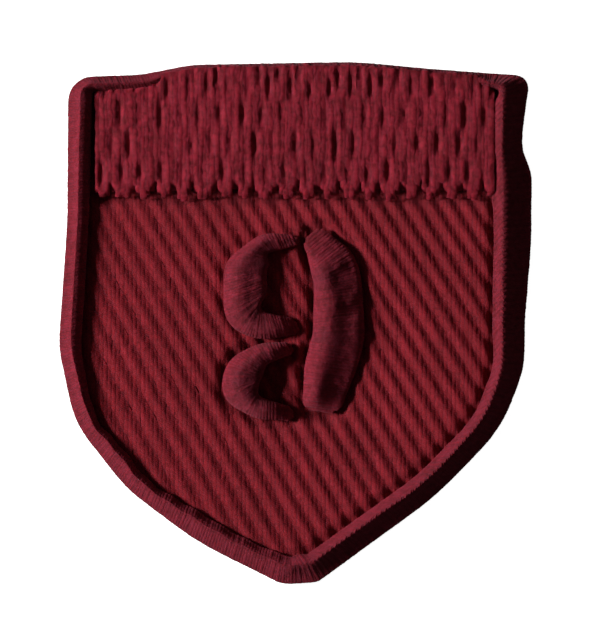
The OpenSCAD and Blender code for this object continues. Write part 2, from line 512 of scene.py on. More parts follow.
def floor_finish():
    """Plain pale floor: near white, with a trace of tone so that a soft shadow still shows."""
    finish = Finish("pale_floor")
    mottle = finish.noise(finish.node("ShaderNodeTexCoord").outputs["Object"], 4.0, 2.0)
    finish.stated({"Base Color": finish.mixed(mottle, FLOOR_DULL, FLOOR_PALE), "Roughness": 0.9})
    finish.stated({"Specular IOR Level": 0.1})
    finish.stated({"Emission Color": (1, 1, 1, 1), "Emission Strength": 0.97})
    return finish.material


border_thread = thread_finish("border_thread", EDGE_DEEP, EDGE_BRIGHT, 0.15, 11, 0.00005, 1.6)
band_thread = thread_finish("band_thread", DEEP_RED, BRIGHT_RED, 0.15, 11, 0.00004, 2.2)
numeral_thread = thread_finish("numeral_thread", EDGE_DEEP, EDGE_BRIGHT, 0.15, 11, 0.00005, 2.2)
warp_yarn = thread_finish("warp_yarn", WARP_DEEP, WARP_BRIGHT, 0.12, 9, 0.00005, 1.0)


# The ground: a woven sheet, and on it the warp yarns whose floats make the steep wales

# Turns of the wales for each millimetre across and up, how they bend, and where they start
WALE_ACROSS = 0.535
WALE_UP = 0.315
WALE_BENDS = (0.00025, 0.0011, 0.00065)
WALE_START = -0.256
# The warp yarns, their floats, whose length is a share of a wale, and the rise of a wale's cord
YARN_PITCH = 0.42
YARN_RADIUS = 0.25
YARN_BULGE = 0.034
FLOAT_SHARE = 0.99
FLOAT_RINGS = 10
FLOAT_SIDES = 8
FLOAT_LIFT = 0.18
FLOAT_SHORTEST = 0.4
CORD_RISE = 0.27
# The floats lie looser left of the first place, and most so at the second, where they are flatter
LOOSE_FROM, LOOSE_AT = 2, -20
LOOSE_FLATTER = 0.35
# How far inside the cloth's box the first and the last yarn lie, and where a float is hidden: this
# far in from the band's ends and up from its foot
FIRST_YARN, LAST_YARN = 0.1, 0.05
HIDDEN_IN, HIDDEN_UP = 0.6, 0.8
# How uneven the floats are: their places, and how much more where they are loose, their lean, how
# they sway, and their height, thickness and tone
FLOAT_SHIFT, LOOSE_SHIFT = 0.01, 0.035
FLOAT_LEAN, LEAN_UNEVEN = 0.02, 0.015
FLOAT_SWAY, SWAY_SIZE = 0.03, 2.5
LIFT_UNEVEN, YARN_UNEVEN, YARN_TONE = 0.004, 0.05, 0.45
# The hollow beside the stitching: depth, depth beside the bowl, width, by what share it is less
# deep low on the left, and the grid it is worked out on
DRAWN_DOWN = 0.55
DRAWN_LESS = 0.2
DRAWN_WIDE = 0.5
DRAWN_LEFT = 0.4
DRAWN_GRID = 0.3
# The depth and width of the hollow under the band
BAND_DOWN = 0.95
BAND_WIDE = 0.75
# Hollows inside the hook and at needle holes: x, y, radius, depth
HOLLOWS = (
    (-2.2, -5.9, 1.35, 0.6), (-1.9, -4.6, 0.9, 0.5),
    (0.75, 8.9, 0.4, 0.6), (-3.35, -1.7, 0.35, 0.6),
)
# How much darker the yarns are painted for each millimetre that they are drawn down: painted shade in
# the hollows
DRAWN_SHADE = 4.0
# The sheet: its top, its least thickness, its inset from the cloth's box, its ribs and waver
SHEET_TOP = 0.8
SHEET_LEAST = 0.1
SHEET_INSET = 0.02
BACK_RIB, TOP_RIB, TOP_WAVER = 0.03, 0.05, 0.03
SHEET_COLUMNS = 150
SHEET_ROWS = 170
# Least height of a float over the table, how deep under its top the cloth's edge is met, and the
# underside's height at that edge
FLOAT_LEAST = 0.26
EDGE_DEPTH = 0.3
UNDER_EDGE = 0.35


def wale_turns(x, y):
    """How many wales lie between the patch's middle and a place."""
    bend_xx, bend_xy, bend_yy = WALE_BENDS
    straight = WALE_START + WALE_ACROSS * x + WALE_UP * y
    return straight + bend_xx * x * x + bend_xy * x * y + bend_yy * y * y


def wale_rates(x, y):
    """How fast the turns grow across the cloth and up it."""
    bend_xx, bend_xy, bend_yy = WALE_BENDS
    return WALE_ACROSS + 2 * bend_xx * x + bend_xy * y, WALE_UP + bend_xy * x + 2 * bend_yy * y


def cord(part):
    """Height of a wale's rounded top, from groove to groove: 0 to 1."""
    return np.sin(np.pi * held(part)) ** 2


def beside(places):
    """How deep the cloth is drawn down at places beside the numeral, the band and the border."""
    x, y = places[..., 0], places[..., 1]
    flat = places.reshape(-1, 2)
    drawn = BAND_DOWN * np.exp(-((np.maximum(band_low.y - y, 0) / BAND_WIDE) ** 2))
    for rows, depth in ((BOWL, DRAWN_LESS), (STEM, DRAWN_DOWN), (HOOK, DRAWN_DOWN)):
        line, widths = bent(rows)
        spots = SHARES * length_along(line)[-1]
        apart = np.linalg.norm(flat[:, None] - walked(line, spots)[None], axis=2)
        reach = walked(line, spots, widths)[:, 0]
        near = np.maximum((apart - reach).min(1), 0).reshape(x.shape)
        drawn = np.maximum(drawn, depth * np.exp(-((near / DRAWN_WIDE) ** 2)))
    for hollow_x, hollow_y, radius, depth in HOLLOWS:
        apart = np.hypot(x - hollow_x, y - hollow_y)
        drawn = np.maximum(drawn, depth * np.exp(-((apart / radius) ** 4)))
    # Every fourth place of the border's foot is near enough
    apart = np.linalg.norm(flat[:, None] - foot_line[None, ::4], axis=2)
    near = apart.min(1).reshape(x.shape)
    left = low_left(outer_line - foot_line)[::4][apart.argmin(1)].reshape(x.shape)
    depth = DRAWN_DOWN * (1 - DRAWN_LEFT * left)
    return np.maximum(drawn, depth * np.exp(-((near / DRAWN_WIDE) ** 2)))


def drawn_down(places, low, high):
    """The same at many places, read off a grid over the cloth."""
    columns = np.arange(low.x - 1, high.x + 1, DRAWN_GRID)
    rows = np.arange(low.y - 1, high.y + 1, DRAWN_GRID)
    grid = beside(np.stack(np.meshgrid(columns, rows, indexing="ij"), -1))
    across = np.clip((places[..., 0] - columns[0]) / DRAWN_GRID, 0, len(columns) - 1.01)
    up = np.clip((places[..., 1] - rows[0]) / DRAWN_GRID, 0, len(rows) - 1.01)
    column, row = across.astype(int), up.astype(int)
    across, up = across - column, up - row
    near = grid[column, row] * (1 - across) + grid[column + 1, row] * across
    far = grid[column, row + 1] * (1 - across) + grid[column + 1, row + 1] * across
    return near * (1 - up) + far * up


def cloth_limits(tree, x):
    """The lowest and highest place of the cloth on a line up the patch."""
    z = cloth_top - EDGE_DEPTH
    low, high = meets(tree, (x, -OUTSIDE, z), (0, 1, 0)), meets(tree, (x, OUTSIDE, z), (0, -1, 0))
    return low[1], high[1]


def make_ground():
    """The ground cloth: its sheet and the floats on it."""
    tree = tree_of("ground_cloth")
    low, high = [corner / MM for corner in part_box("ground_cloth")]
    sheet = make_sheet(tree, low, high)
    floats = make_floats(tree, low, high)
    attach(sheet, "root")
    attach(floats, "root")
    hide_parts("ground_cloth")


def make_sheet(tree, low, high):
    """The woven sheet under the floats: closed, thin at its edge, where the border holds it."""
    across = np.linspace(low.x + SHEET_INSET, high.x - SHEET_INSET, SHEET_COLUMNS)
    limits = np.array([cloth_limits(tree, x) for x in across])
    share = np.linspace(0, 1, SHEET_ROWS)
    y = limits[:, :1] + (limits[:, 1:] - limits[:, :1]) * share
    x = np.broadcast_to(across[:, None], y.shape)
    plan = np.stack([x, y], -1)
    wave = np.sin(2 * math.pi * wale_turns(x, y))
    back = cloth_underside(tree, x, y) + BACK_RIB + BACK_RIB * wave
    top = SHEET_TOP + TOP_RIB * wave + TOP_WAVER * drift(plan, 3, 5)
    top = np.maximum(top - drawn_down(plan, low, high), back + SHEET_LEAST)
    mesh = bpy.data.meshes.new("twill_sheet")
    points = [np.stack([x, y, z], -1).reshape(-1, 3) for z in (top, back)]
    mesh.from_pydata(np.concatenate(points) * MM, [], sheet_faces(x.shape).tolist())
    mesh.shade_smooth()
    mesh.materials.append(cloth_finish())
    return placed("twill_sheet", mesh)


def cloth_underside(tree, x, y):
    """Heights of the cloth's underside, with the step at the border's wrap evened out."""
    under = [[meets(tree, (a, b, BELOW), (0, 0, 1))[2] for a, b in zip(*row)] for row in zip(x, y)]
    under = np.where(np.array(under) < 0, UNDER_EDGE, under)
    for _ in range(3):
        sums = under[:-2, 1:-1] + under[2:, 1:-1] + under[1:-1, :-2] + under[1:-1, 2:]
        under[1:-1, 1:-1] = sums / 4
    return under


def sheet_faces(shape):
    """Faces of a closed sheet: its top, its back, whose points follow, and the rim between."""
    count = shape[0] * shape[1]
    grid = np.arange(count).reshape(shape)
    a, b, c, d = grid[:-1, :-1], grid[1:, :-1], grid[1:, 1:], grid[:-1, 1:]
    top = np.stack([a, b, c, d], -1).reshape(-1, 4)
    rim = np.concatenate([grid[:, 0], grid[-1, 1:], grid[-2::-1, -1], grid[0, -2:0:-1]])
    ahead = np.roll(rim, -1)
    walls = np.stack([rim, rim + count, ahead + count, ahead], -1)[:, ::-1]
    return np.concatenate([top, top[:, ::-1] + count, walls])


def float_middles(x, least, most):
    """Places up a warp yarn at which its floats cross the tops of the wales."""
    turns = np.arange(math.floor(wale_turns(x, least)), math.ceil(wale_turns(x, most)) + 1)
    y = (turns - WALE_START - WALE_ACROSS * x) / WALE_UP
    for _ in range(4):
        y = y + (turns - wale_turns(x, y)) / wale_rates(x, y)[1]
    return y


def make_floats(tree, low, high):
    """The warp yarns that float over the wales, each float a short thread of its own."""
    floats = []
    share = np.linspace(0, 1, FLOAT_RINGS)
    for x in np.arange(low.x + FIRST_YARN, high.x - LAST_YARN, YARN_PITCH):
        least, most = cloth_limits(tree, x)
        loose = held((LOOSE_FROM - x) / (LOOSE_FROM - LOOSE_AT))
        under_band = band_low.x + HIDDEN_IN < x < band_high.x - HIDDEN_IN
        for middle in float_middles(x, least, most):
            middle = middle + chance.normal() * (FLOAT_SHIFT + LOOSE_SHIFT * loose)
            rate_across, rate_up = wale_rates(x, middle)
            length = FLOAT_SHARE / rate_up
            lean = FLOAT_LEAN + LEAN_UNEVEN * (1 + loose) * chance.normal()
            start, end = max(middle - length / 2, least), min(middle + length / 2, most)
            hidden = start > band_low.y + HIDDEN_UP and under_band
            if end - start < FLOAT_SHORTEST or hidden:
                continue
            ys = start + (end - start) * share
            part = (ys - middle) / length + 0.5
            sway = FLOAT_SWAY * drift(np.stack([ys, 0 * ys + x * 3], -1), SWAY_SIZE, 3)
            xs = x + lean * (ys - middle) + sway
            rise = CORD_RISE * (1 - LOOSE_FLATTER * loose)
            zs = SHEET_TOP + FLOAT_LIFT + LIFT_UNEVEN * chance.normal() + rise * cord(part)
            # Across a float its surface follows the wale, so that neighbours make one cord
            side = (1.0, -rate_across / rate_up, 0.0)
            radius = YARN_RADIUS * (1 + YARN_UNEVEN * chance.normal())
            floats.append((np.stack([xs, ys, zs], -1), side, radius))
    lines, sides, radii = [np.array(column) for column in zip(*floats)]
    turn = ring_turns(FLOAT_SIDES) - math.pi / 2
    rings = lines[:, :, None] + np.cos(turn)[:, None] * (sides * radii[:, None])[:, None, None]
    rings[..., 2] += YARN_BULGE * np.sin(turn)
    # Drawn down with the sheet, but never through it
    drawn = np.minimum(drawn_down(rings, low, high), lines[:, :, None, 2] - FLOAT_LEAST)
    rings[..., 2] -= drawn
    threads = Threads()
    # The yarns drawn down into the hollows are painted darker: painted shade
    tones_and_painted_light = chance.normal(size=(len(lines), 1, 1)) * YARN_TONE - DRAWN_SHADE * drawn
    threads.add(rings, tones_and_painted_light.reshape(len(lines), -1))
    return threads.made("twill_floats", warp_yarn)


# The border: overlocked stitches, each a loop from the front over the edge to the back

# The stitches: spacing, half width, thickness for that width, slant
STITCH_PITCH = 0.31
STITCH_RADIUS = 0.23
STITCH_FLAT = 0.28
STITCH_SLANT = 0.45
# How much brighter the stitches are painted low on the left, as painted light, and how uneven the edge
# is
LOW_LEFT_LIGHT = 1.5
EDGE_UNEVEN = 0.012
# How much every other stitch is raised and the rest lowered, and how much more on the right
PAIRS = 0.004
RIGHT_PAIRS = 0.022
# How uneven the stitches are: place for their spacing, rise, depth, thickness and tone, and how
# much thicker every other one is
STITCH_SHIFT = 0.05
RISE_UNEVEN, DEPTH_UNEVEN, THICK_UNEVEN = 0.006, 0.1, 0.03
STITCH_TONE = 0.2
PAIRS_THICKER = 0.02
# How thick a stitch is at its first two places and at its last two
START_THICK, END_THICK = (0.6, 0.9), (0.95, 0.7)
# How much further the stitches lean on the inner slope of the right side
INNER_SLANT = 1.0
BORDER_SIDES = 8
# How far under the cloth's face a stitch goes in, how far past the slope's foot, as a share, and
# how far under the face that foot lies
NEEDLE_DEPTH = 0.35
NEEDLE_PAST = 0.06
SLOPE_DEPTH = 0.1
# The core under the stitches: places round the border, inset in thicknesses, and its painted shade,
# darker where it shows between them
CORE_PLACES = 300
CORE_INSET = 1.9
CORE_SHADE = -0.4
# Along the top the band's threads lap over the border: from where to where, over what length
# that sets in, and how far under the band's top the border lies
LAPPED = (-14.5, 19.5)
LAP_EASE = 1.5
LAP_DEPTH = 0.3
# Where the top begins, and the share of the way in from which its stitches lie level
TOP_FROM = 20
LEVEL_FROM = 0.2
# How round the crest is, but not on the left side, and how far it leans outward on the right
ROUNDED = 0.5
RIGHT_LEAN = 0.05
# How much nearer the edge the crest lies along the top, as a share of its way in
TOP_FLAT = 0.5
# Angles over the inner slope, over the crest to the nose, and from the nose to the underside
INNER_TURNS = np.radians([0, 18, 36, 54, 72, 90])
OUTER_TURNS = np.radians([6, 12, 19, 27, 37, 50, 66, 90])
LOWER_TURNS = np.radians([25, 50, 72, 90])
UNDER_SHARE = 0.5


def border_section(crest, height, inset, width, soft):
    """Shares of the way in and heights round the border's section, set in by a thread's radius.
    Where soft is 1, the inner slope is even and the crest is rounder."""
    top = height - inset
    section = [(1 + (1 - crest) * NEEDLE_PAST, face_z - NEEDLE_DEPTH)]
    for turn in INNER_TURNS:
        even = (1 - math.cos(math.pi * (1 - math.cos(turn)))) / 2
        climb = math.sin(turn) * (1 - soft) + even * soft
        rise = (top - face_z + SLOPE_DEPTH) * climb
        section.append((crest + (1 - crest) * math.cos(turn), face_z - SLOPE_DEPTH + rise))
    for turn in OUTER_TURNS:
        fall = math.sin(turn)
        fall = fall * (1 - soft) + fall**2 * (1 + ROUNDED) / (fall + ROUNDED) * soft
        drop = (top - NOSE_Z) * (0.55 * fall + 0.45 * (1 - (1 - fall) ** 3))
        section.append((crest * (1 - math.sin(turn)), top - drop))
    for turn in LOWER_TURNS:
        low = inset + (NOSE_Z - inset) * (1 - math.sin(turn))
        section.append((UNDER_SHARE * crest * (1 - math.cos(turn)), low))
    section += [(share, inset + 0.02) for share in (0.6, 0.9)]
    shares, heights = [np.stack([v + 0 * crest for v in row], -1) for row in zip(*section)]
    edge = (inset / width)[:, None]
    return edge + (1 - edge) * shares, heights


def along_top(x):
    """Whether places lie along the middle of the top, 0 to 1."""
    low, high = LAPPED
    return held((x - low) / LAP_EASE) * held((high - x) / LAP_EASE)


def border_lines(places, inset, slant):
    """Middle lines of stitches that start at some places round the border's edge."""
    outer = round_border(outer_line, places)
    share = along_top(outer[:, 0]) * (outer[:, 1] > TOP_FROM)
    foot = round_border(foot_line, places - slant * (1 - share))
    back = round_border(foot_line, places + slant)
    width = np.linalg.norm(foot - outer, axis=1)
    crest, height = round_border(crest_share, places), round_border(crest_height, places)
    outward = unit(outer - foot)
    right = held(outward[:, 0])
    soft = held(np.maximum(right, np.abs(outward[:, 1])))
    crest = crest * (1 - TOP_FLAT * share) * (1 - RIGHT_LEAN * right)
    shares, heights = border_section(crest, height, inset, width, soft)
    on_front = np.arange(shares.shape[1]) < len(INNER_TURNS) + 1 + len(OUTER_TURNS)
    ends = np.where(on_front[:, None], foot[:, None], back[:, None])
    plan = outer[:, None] + (ends - outer[:, None]) * shares[..., None]
    down = held((shares - crest[:, None]) / (1 - crest[:, None])) * on_front
    lean = INNER_SLANT * down * right[:, None]
    plan = plan - lean[..., None] * edge_ways(places)[:, None, :2]
    # Along the top the stitches lie level under the ends of the band's threads
    level = np.minimum(heights, band_high.z - LAP_DEPTH - inset)
    levelled = heights * (1 - share[:, None]) + level * share[:, None]
    heights = np.where((shares > LEVEL_FROM) & on_front, levelled, heights)
    heights[:, 0] = face_z - NEEDLE_DEPTH
    return np.concatenate([plan, heights[..., None]], -1)


def edge_ways(places):
    """Direction along the border's edge at some places round it."""
    ahead, behind = round_border(outer_line, places + 0.3), round_border(outer_line, places - 0.3)
    return np.pad(unit(ahead - behind), ((0, 0), (0, 1)))


def make_border():
    """The overlocked edge: its stitches, over a plain core that fills the gaps between them."""
    count = round(edge_length / STITCH_PITCH)
    places = (np.arange(count) + STITCH_SHIFT * chance.normal(size=count)) * edge_length / count
    every_other = np.where(np.arange(count) % 2, 1.0, -1.0)
    lines = border_lines(places, STITCH_RADIUS * STITCH_FLAT, STITCH_SLANT)
    edge = round_border(outer_line, places)
    outward = unit(edge - round_border(foot_line, places))
    pair_rise = PAIRS + RIGHT_PAIRS * held(outward[:, 0])
    rise = pair_rise * every_other + RISE_UNEVEN * chance.normal(size=count)
    lines[..., 2] += rise[:, None] * held(lines[..., 2] - 0.3)
    uneven = EDGE_UNEVEN * (drift(edge, 1.1, 31) + 0.5 * chance.normal(size=count))
    lines[..., :2] += (outward * uneven[:, None])[:, None]
    lines[:, 0, 2] -= DEPTH_UNEVEN * chance.random(count)
    thick = 1 + PAIRS_THICKER * every_other + THICK_UNEVEN * chance.normal(size=count)
    # Each stitch is thinner where it goes into the cloth and where it ends on the back
    ends = np.concatenate([START_THICK, np.ones(lines.shape[1] - 4), END_THICK])
    radius = STITCH_RADIUS * thick[:, None] * ends
    threads = Threads()
    across = -edge_ways(places)[:, None]
    rings = round_rings(lines, across, radius, BORDER_SIDES, flat=STITCH_FLAT)
    # The stitches low on the left are painted brighter: painted light
    low_left_light = LOW_LEFT_LIGHT * low_left(round_border(outer_line - foot_line, places))
    threads.add(rings, (chance.normal(size=count) * STITCH_TONE + low_left_light)[:, None])
    core_places = np.linspace(0, edge_length, CORE_PLACES, endpoint=False)
    core = border_lines(core_places, CORE_INSET * STITCH_RADIUS * STITCH_FLAT, 0.0)
    # The core is painted darker: painted shade in the gaps between stitches
    threads.add(core[None, :, ::-1], CORE_SHADE, looped=True)
    made = threads.made("border_stitches", border_thread)
    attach(made, "root")
    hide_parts("border")


# The band: fill stitches side by side, each dipping down into its needle holes

BAND_RADIUS = 0.32
BAND_FLAT = 0.17
BAND_RINGS = 66
BAND_SIDES = 8
# Rows of needle holes between the top and the foot, their holes' spacing, start and shift
HOLE_ROWS = (23.7, 20.8, 17.9, 15.05)
HOLE_PITCH = 2.045
HOLE_START = 0.72
HOLE_SHIFT = -0.83
# How many holes lie to each side of that start, and how uneven they are: depth and its limits,
# place across and up, and length of the dip
HOLES_ASIDE = 13
HOLE_DEPTHS, DEPTH_LIMITS = 0.35, (0.4, 1.4)
HOLE_ACROSS, HOLE_UP, HOLE_LENGTHS = 0.12, 0.15, 0.2
# Threads for each space between two holes of a row, and threads to the left of the start
BAND_SHARE = 5
THREADS_LEFT = 55
# The band's foot: how far past it the threads run, how high the notches between its points are and
# how wide, as a share of the holes' spacing, and how uneven it is. The same run and unevenness at
# the top follow.
FOOT_PAST = 0.4
NOTCH_RISE, NOTCH_WIDTH = 1.1, 0.4
FOOT_UNEVEN = 0.15
ROOF_PAST, ROOF_UNEVEN = 0.1, 0.05
# How deep under the cloth's face the threads end, over what share of their length they go down,
# and how uneven their heights, thickness and tones are
BAND_DEPTH = 0.3
BAND_TURN = 0.05
LEVEL_UNEVEN, BAND_UNEVEN, BAND_TONE = 0.012, 0.06, 0.25
# How far inside the left edge the threads start, and how far past the right edge they go on
BAND_INSIDE = 0.15
BAND_PAST = 0.45
# The dip of the threads at a hole: depth, half length and half width
DIP = 0.27
DIP_LENGTH = 1.25
DIP_WIDTH = 0.28
# The uppermost holes, beside the border
TOP_ROW = 24.5
# Along the top: how far inside the edge the threads turn down, and how far they drop
TOP_END = 0.3
TOP_DROP = 0.9
# At the top right the threads are painted darker, as painted shade: from which place, and how much
PAINTED_SHADE_FROM = (8, 23.4)
PAINTED_SHADE_TONE = 1.6


def band_roof(x):
    """The band's upper limit: the border's foot, and along the middle of the top the edge."""
    limits = []
    for line in (foot_line, outer_line):
        top = line[line[:, 1] > band_low.y]
        order = np.argsort(top[:, 0])
        limits.append(np.interp(x, top[order, 0], top[order, 1]))
    share = along_top(x)
    return limits[0] * (1 - share) + (limits[1] - TOP_END) * share


def band_holes():
    """Needle holes of the fill stitches: place, depth and half length of the dip at each."""
    holes = []
    for row, y in enumerate((TOP_ROW, *HOLE_ROWS, band_low.y)):
        for hole in range(-HOLES_ASIDE, HOLES_ASIDE):
            x = HOLE_START + HOLE_SHIFT * (row - 2) + HOLE_PITCH * hole
            depth = DIP * np.clip(1 + HOLE_DEPTHS * chance.normal(), *DEPTH_LIMITS)
            x = x + HOLE_ACROSS * chance.normal()
            length = DIP_LENGTH * (1 + HOLE_LENGTHS * chance.normal())
            holes.append((x, y + HOLE_UP * chance.normal(), depth, length))
    return np.array(holes)


def make_band():
    """The block of fill stitches, each a flat thread that runs from its top to its foot."""
    holes = band_holes()
    pitch = HOLE_PITCH / BAND_SHARE
    share = np.linspace(0, 1, BAND_RINGS)
    top_z = band_high.z - BAND_RADIUS * BAND_FLAT
    lines, radii = [], []
    for x in np.arange(HOLE_START - THREADS_LEFT * pitch, band_high.x + BAND_PAST, pitch):
        if x < band_low.x + BAND_INSIDE:
            continue
        jitter = chance.normal(size=4)
        # Along its foot the band ends in points between the last holes
        notch = np.abs((x - holes[holes[:, 1] < band_low.y + 1, 0])).min() / HOLE_PITCH
        up = NOTCH_RISE * max(0, 1 - notch / NOTCH_WIDTH)
        end = band_low.y - FOOT_PAST + up + FOOT_UNEVEN * jitter[0]
        start = float(band_roof(x)) + ROOF_PAST + ROOF_UNEVEN * jitter[1]
        ys = start + (end - start) * share
        spots = np.stack([ys * 0 + x, ys], -1)
        xs = x + 0.03 * drift(spots * (3, 1), 4.5, 11) + 0.06 * drift(spots, 3.0, 12)
        zs = top_z - 0.04 + LEVEL_UNEVEN * jitter[2] + 0.03 * drift(spots * (4, 1), 4.0, 13)
        ends = np.sqrt(held(np.minimum(share * (1 + 2 * along_top(x)), 1 - share) / BAND_TURN))
        top_end = (top_z - TOP_DROP - face_z + BAND_DEPTH) * along_top(x)
        foot_z = face_z - BAND_DEPTH + top_end * (share < 0.5)
        zs = foot_z + (zs - foot_z) * ends
        lines.append(np.stack([xs, ys, zs], -1))
        radii.append([BAND_RADIUS * (1 + BAND_UNEVEN * jitter[3])])
    lines = np.array(lines)
    threads = Threads()
    rings = round_rings(lines, (1, 0, 0), radii, BAND_SIDES, BAND_FLAT, lumps=0.06, twist=6.0)
    for hole_x, hole_y, depth, length in holes:
        across, up = (rings[..., 0] - hole_x) / DIP_WIDTH, (rings[..., 1] - hole_y) / length
        rings[..., 2] -= depth * np.exp(-(across**2) - np.abs(up) ** 3)
    # Painted shade on the threads at the top right
    right, up = rings[..., 0] - PAINTED_SHADE_FROM[0], rings[..., 1] - PAINTED_SHADE_FROM[1]
    top_right_shade = held(up / 0.6) * held(right / 3)
    tones_and_painted_light = chance.normal(size=(len(lines), 1, 1)) * BAND_TONE - PAINTED_SHADE_TONE * top_right_shade
    threads.add(rings, tones_and_painted_light.reshape(len(lines), -1))
    made = threads.made("band_stitches", band_thread)
    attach(made, "root")
    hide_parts("band")


# The numeral: three columns of satin stitches over padding

# Columns: x, y, radius of the bend, half of the column's width
BOWL = (
    (-0.4, 8.25, 0, 0.6), (-3.6, 8.0, 2.0, 1.0), (-5.05, 5.6, 2.6, 2.15),
    (-5.0, 1.4, 2.6, 2.25), (-4.0, -0.2, 1.6, 1.45), (-0.7, -0.3, 0, 0.9),
)
STEM = (
    (2.3, 7.9, 0, 1.5), (4.2, 5.0, 4, 2.4), (4.35, -1.4, 4, 2.6),
    (3.5, -4.3, 3, 2.6), (2.85, -7.3, 0, 2.1),
)
HOOK = (
    (-1.0, -2.6, 0, 0.7), (-3.5, -3.05, 1.6, 1.1), (-5.35, -4.8, 2.0, 1.85),
    (-5.45, -6.4, 2.0, 2.1), (-4.3, -8.4, 1.6, 1.1), (-1.0, -9.0, 0, 0.8),
)
# Heights across a column, from its right foot to its left one, as shares of the imported model's rise,
# worked out from how bright its sides look
BOWL_SHAPE = (
    (-1, 0), (-0.98, 0.19), (-0.91, 0.38), (-0.82, 0.467), (-0.73, 0.505), (-0.56, 0.564),
    (-0.43, 0.6), (-0.295, 0.638), (-0.16, 0.681), (-0.03, 0.718), (0.06, 0.74), (0.145, 0.755),
    (0.23, 0.762), (0.365, 0.738), (0.45, 0.7), (0.54, 0.633), (0.63, 0.545), (0.72, 0.438),
    (0.8, 0.324), (0.89, 0.2), (0.956, 0.095), (1, 0),
)
STEM_SHAPE = (
    (-1, 0), (-0.94, 0.16), (-0.84, 0.22), (-0.67, 0.305), (-0.5, 0.395), (-0.37, 0.48), (-0.2, 0.595),
    (-0.06, 0.7), (0.04, 0.76), (0.14, 0.82), (0.24, 0.875), (0.34, 0.895), (0.45, 0.885), (0.52, 0.855),
    (0.6, 0.79), (0.72, 0.63), (0.84, 0.44), (0.94, 0.27), (0.98, 0.17), (1, 0),
)
HOOK_SHAPE = (
    (-1, 0), (-0.97, 0.19), (-0.93, 0.4), (-0.85, 0.61), (-0.75, 0.69), (-0.6, 0.76),
    (-0.45, 0.82), (-0.3, 0.87), (-0.15, 0.91), (0, 0.94), (0.1, 0.95), (0.2, 0.94),
    (0.35, 0.885), (0.5, 0.78), (0.68, 0.6), (0.85, 0.4), (0.92, 0.27), (0.97, 0.15), (1, 0),
)
# A column's level start: its height as a share, how it grows across, and how wide its edges are
LEVEL = 0.6
LEVEL_SLOPE = 0.25
LEVEL_EDGE = 0.25
# How much darker the threads are painted there, as painted shade
LEVEL_SHADE = 2.6
# Lumps of the padding: x, y, radius, rise
LUMPS = (
    (5.7, 2.3, 0.65, 0.8), (4.5, 5.9, 0.6, 0.35), (4.1, 1.9, 0.6, 0.25), (5.0, -6.4, 2.0, -0.7),
    (4.3, 4.4, 1.0, -0.4), (4.4, -6.0, 0.5, 0.3), (6.25, 0.3, 0.7, 1.0), (6.2, -1.0, 0.7, 0.9),
    (5.7, -2.6, 0.7, 0.4), (-3.6, 4.3, 0.5, 0.2), (-3.7, 1.8, 0.6, 0.2),
)
SHARES = np.linspace(0, 1, 40)
# Over what length a column's line and width are evened out
EVENED = 1.6
# The satin stitches, their places across a column, and, as shares of its rise, the depth of their
# ends and the height of a column's ends
SATIN_PITCH = 0.32
SATIN_RADIUS = 0.24
SATIN_FLAT = 0.32
SATIN_SIDES = 8
SATIN_PLACES = np.concatenate([[-1], np.linspace(-1, 1, 21), [1]])
SATIN_DEPTH = 0.12
END_SHARE = 0.12
# How uneven the stitches are: place along the column, height, thickness and tone
SATIN_SHIFT, SATIN_LIFT, SATIN_UNEVEN, SATIN_TONE = 0.02, 0.008, 0.06, 0.3
# The padding under them: inset in thicknesses, and its painted shade, darker where it shows between them
PADDING_INSET = 1.8
PADDING_SHADE = -0.4


def bent(rows):
    """The middle line of a column, with an arc at each bend, and its half width along it."""
    rows = np.array(rows)
    line = [rows[0, [0, 1, 3]]]
    for before, row, after in zip(rows[:-2], rows[1:-1], rows[2:]):
        corner, radius = row[:2], row[2]
        back, ahead = unit(before[:2] - corner), unit(after[:2] - corner)
        half = math.acos(float(back @ ahead)) / 2
        middle = corner + unit(back + ahead) * radius / math.sin(half)
        for part in np.linspace(0, 1, 12):
            foot = corner + (back * (1 - part) + ahead * part) * radius / math.tan(half)
            line.append([*(middle + unit(foot - middle) * radius), row[3]])
    line = np.array([*line, rows[-1, [0, 1, 3]]])
    # The whole line is evened out, with its ends kept
    spots = np.linspace(0, length_along(line[:, :2])[-1], 160)
    reach = round(EVENED / spots[1])
    even = walked(line[:, :2], spots, line)
    longer = np.pad(even, ((reach, reach), (0, 0)), "reflect", reflect_type="odd")
    smooth = softened(longer, reach)[reach:-reach]
    return smooth[:, :2], smooth[:, 2]


def lumps_at(places):
    """How much the padding's lumps add at some places."""
    rise = 0.0
    for x, y, radius, height in LUMPS:
        apart = np.linalg.norm(places - (x, y), axis=-1)
        rise = rise + height * np.exp(-((apart / radius) ** 2))
    return rise


def ways_along(line, places):
    """Directions of a line at some places along it."""
    return unit(walked(line, places + 0.4) - walked(line, places - 0.4))


def satin_places(line, widths, over):
    """Where along a column its stitches lie: close on whichever of its two sides is longer."""
    total = length_along(line)[-1]
    steps = np.linspace(-over[0], total + over[1], 400)
    at = np.clip(steps, 0, total)
    ways = ways_along(line, at)
    middle = walked(line, at) + ways * (steps - at)[:, None]
    reach = to_right(ways) * walked(line, at, widths)
    along = np.maximum(length_along(middle + reach), length_along(middle - reach))
    count = round(along[-1] / SATIN_PITCH)
    return np.interp(np.linspace(0, along[-1], count), along, steps)


def satin_profile(shape, shaped):
    """Heights across each stitch: a level top where shaped is 0, the column's own where it is 1."""
    share, height = np.array(shape).T
    own = np.interp(SATIN_PLACES, share, height)
    edges = held((1 - np.abs(SATIN_PLACES)) / LEVEL_EDGE)
    flat = (LEVEL + LEVEL_SLOPE * SATIN_PLACES) * edges
    profile = flat * (1 - shaped) + own * shaped
    profile[:, [0, -1]] = -SATIN_DEPTH
    return profile


